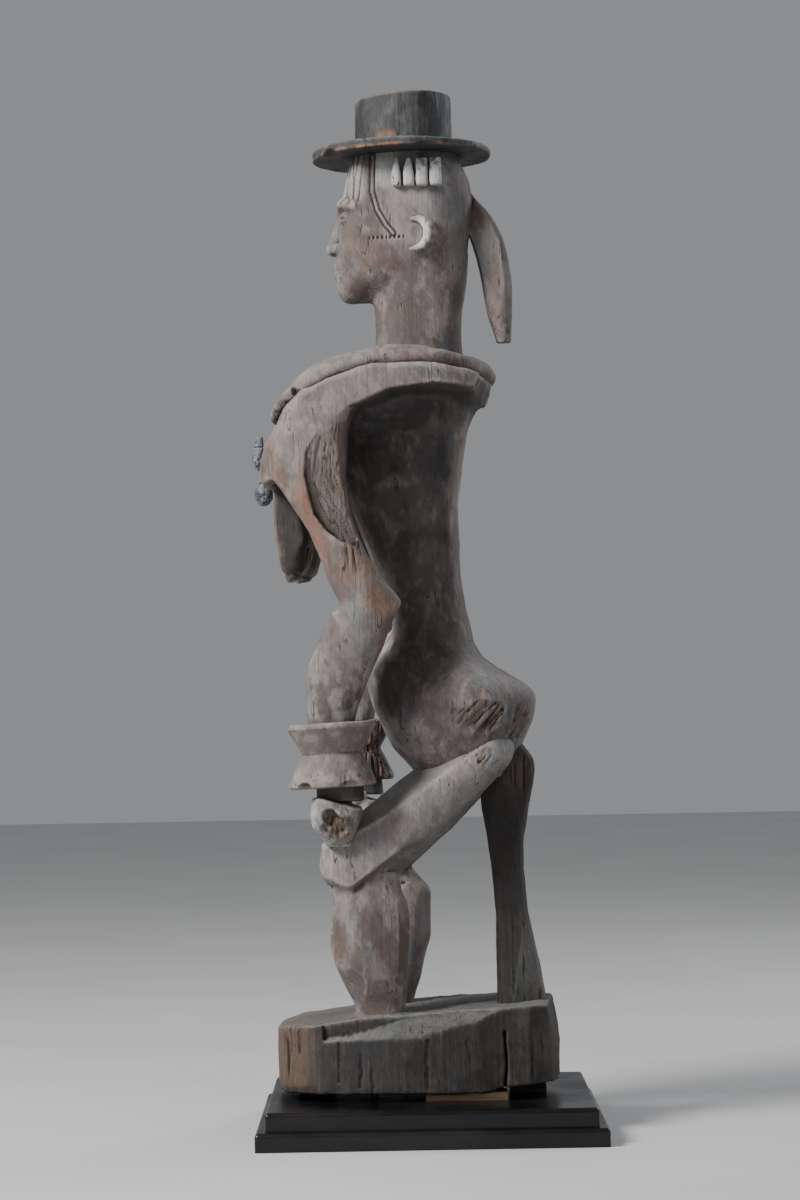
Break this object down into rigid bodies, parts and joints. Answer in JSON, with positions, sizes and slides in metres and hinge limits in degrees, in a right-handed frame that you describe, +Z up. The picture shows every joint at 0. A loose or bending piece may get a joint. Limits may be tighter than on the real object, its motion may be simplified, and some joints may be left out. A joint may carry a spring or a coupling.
{
  "type": "carved ancestor figure",
  "caption": "Seated wooden ancestor figure in a brimmed hat, hands on knees, carved with its stool and base and mounted on a stepped black display plinth.",
  "frame": {"origin": "centre of the plinth's underside, on the floor", "axes": "+Z up; the figure faces -Y and its left side is +X, turned 5 degrees on its plinth"},
  "size_m": [0.362, 0.39, 1.184],
  "materials": {
    "plinth_black": "gloss black lacquer",
    "screw_steel": "zinc plated",
    "pale_wood": "raw softwood",
    "dark_wood": "dark stained",
    "base_wood": "weathered, dusty, open vertical grain",
    "patinated_wood": "grey-brown crusted patina over red-brown wood",
    "cuff_wood": "worn grey-pink patina",
    "blackened_wood": "blackened, edges rubbed back to orange-brown wood",
    "blue_grey_patina": "blue-grey pigment, matte",
    "chalked_wood": "worn white kaolin over brown wood"
  },
  "bodies": {
    "root": {"plinth_lower_board": "plinth_black", "plinth_upper_board": "plinth_black", "plinth_screws": "screw_steel", "mounting_screws": "screw_steel", "mounting_washers": "screw_steel", "pale_shims": "pale_wood", "dark_packers": "dark_wood", "carved_base": "base_wood", "stool_post": "base_wood", "hips": "patinated_wood", "torso": "patinated_wood", "collar_ring": "patinated_wood", "upper_pendant": "blue_grey_patina", "lower_pendant": "blue_grey_patina", "head": "patinated_wood", "hair_tress": "patinated_wood", "tooth_ornaments": "chalked_wood", "hat": "blackened_wood", "left_thigh": "patinated_wood", "left_calf": "patinated_wood", "left_upper_arm": "patinated_wood", "left_forearm": "patinated_wood", "left_cuff": "cuff_wood", "left_hand": "chalked_wood", "right_thigh": "patinated_wood", "right_calf": "patinated_wood", "right_upper_arm": "patinated_wood", "right_forearm": "patinated_wood", "right_cuff": "cuff_wood", "right_hand": "chalked_wood"}
  },
  "joints": []
}
